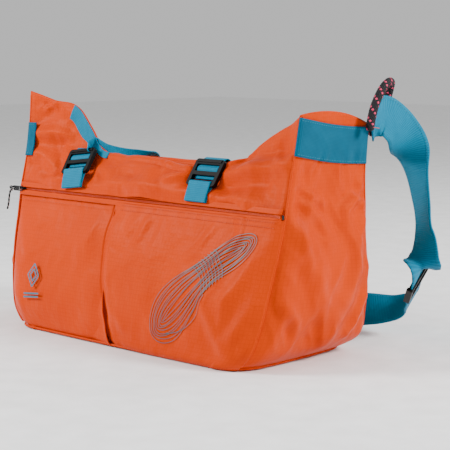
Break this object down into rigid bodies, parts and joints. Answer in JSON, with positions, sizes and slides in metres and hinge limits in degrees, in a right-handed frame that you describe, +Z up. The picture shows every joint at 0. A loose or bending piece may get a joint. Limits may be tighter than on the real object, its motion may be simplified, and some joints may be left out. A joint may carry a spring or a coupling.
{
  "type": "rope storage bag",
  "caption": "Wide soft rope bag with horned ends, compression straps across the mouth, a zipped front pocket, webbing shoulder strap and a rope grab loop.",
  "frame": {"origin": "centre of the base panel's underside, which rests on the ground", "axes": "+X along the bag towards the strap's grab loop, -Y out of the pocket side, +Z up"},
  "size_m": [0.5703, 0.3536, 0.3482],
  "materials": {
    "orange_nylon": "matte coated ripstop nylon",
    "teal_webbing": "woven polyester webbing",
    "black_plastic": "moulded acetal, satin",
    "rope": "braided sheath, black with pink flecks",
    "pull_cord": "braided cord, black and white",
    "orange_thread": "bar-tacked thread",
    "zipper_metal": "black enamelled zinc",
    "zipper_orange": "woven tape and nylon coil"
  },
  "bodies": {
    "bag": {"back_panel": "orange_nylon", "back_yoke": "orange_nylon", "base_panel": "orange_nylon", "base_piping": "orange_nylon", "front_panel": "orange_nylon", "front_yoke": "orange_nylon", "grab_rope": "rope", "left_buckle_tab": "teal_webbing", "left_end_band": "teal_webbing", "left_end_panel": "orange_nylon", "left_strap_tail": "teal_webbing", "left_top_strap": "teal_webbing", "pocket_panel_left": "orange_nylon", "pocket_panel_right": "orange_nylon", "pocket_pleat": "orange_nylon", "right_buckle_tab": "teal_webbing", "right_end_band": "teal_webbing", "right_end_panel": "orange_nylon", "right_top_strap": "teal_webbing", "shoulder_strap_lower": "teal_webbing", "shoulder_strap_upper": "teal_webbing", "strap_bartack": "orange_thread", "zipper_coil": "zipper_orange", "zipper_stops": "zipper_orange", "zipper_tape_lower": "zipper_orange", "zipper_tape_upper": "zipper_orange"},
    "zipper_slider": {"zipper_slider": "zipper_metal"},
    "zipper_pull": {"zipper_pull_tab": "zipper_metal", "zipper_pull_cord": "pull_cord"},
    "right_buckle": {"right_buckle": "black_plastic", "right_threaded_webbing": "teal_webbing"},
    "left_buckle": {"left_buckle": "black_plastic", "left_threaded_webbing": "teal_webbing"},
    "strap_adjuster": {"strap_adjuster": "black_plastic"}
  },
  "joints": [
    {"name": "zipper_slide", "type": "slide", "parent": "bag", "child": "zipper_slider", "axis": [1, 0, 0], "range_m": [0, 0.478]},
    {"name": "pull_tab_hinge", "type": "hinge", "parent": "zipper_slider", "child": "zipper_pull", "pos_m": [-0.242, -0.0774, 0.187], "axis": [0, 0, 1], "range_deg": [0, 140]},
    {"name": "right_buckle_tilt", "type": "hinge", "parent": "bag", "child": "right_buckle", "pos_m": [0.104, -0.06208, 0.21609], "axis": [1, 0, 0], "range_deg": [0, 60]},
    {"name": "left_buckle_tilt", "type": "hinge", "parent": "bag", "child": "left_buckle", "pos_m": [-0.137, -0.06709, 0.21771], "axis": [0.9903, 0.0663, 0.1224], "range_deg": [0, 60]},
    {"name": "adjuster_slide", "type": "slide", "parent": "bag", "child": "strap_adjuster", "axis": [-0.6, 0.5657, -0.5657], "range_m": [-0.004, 0.035]}
  ]
}
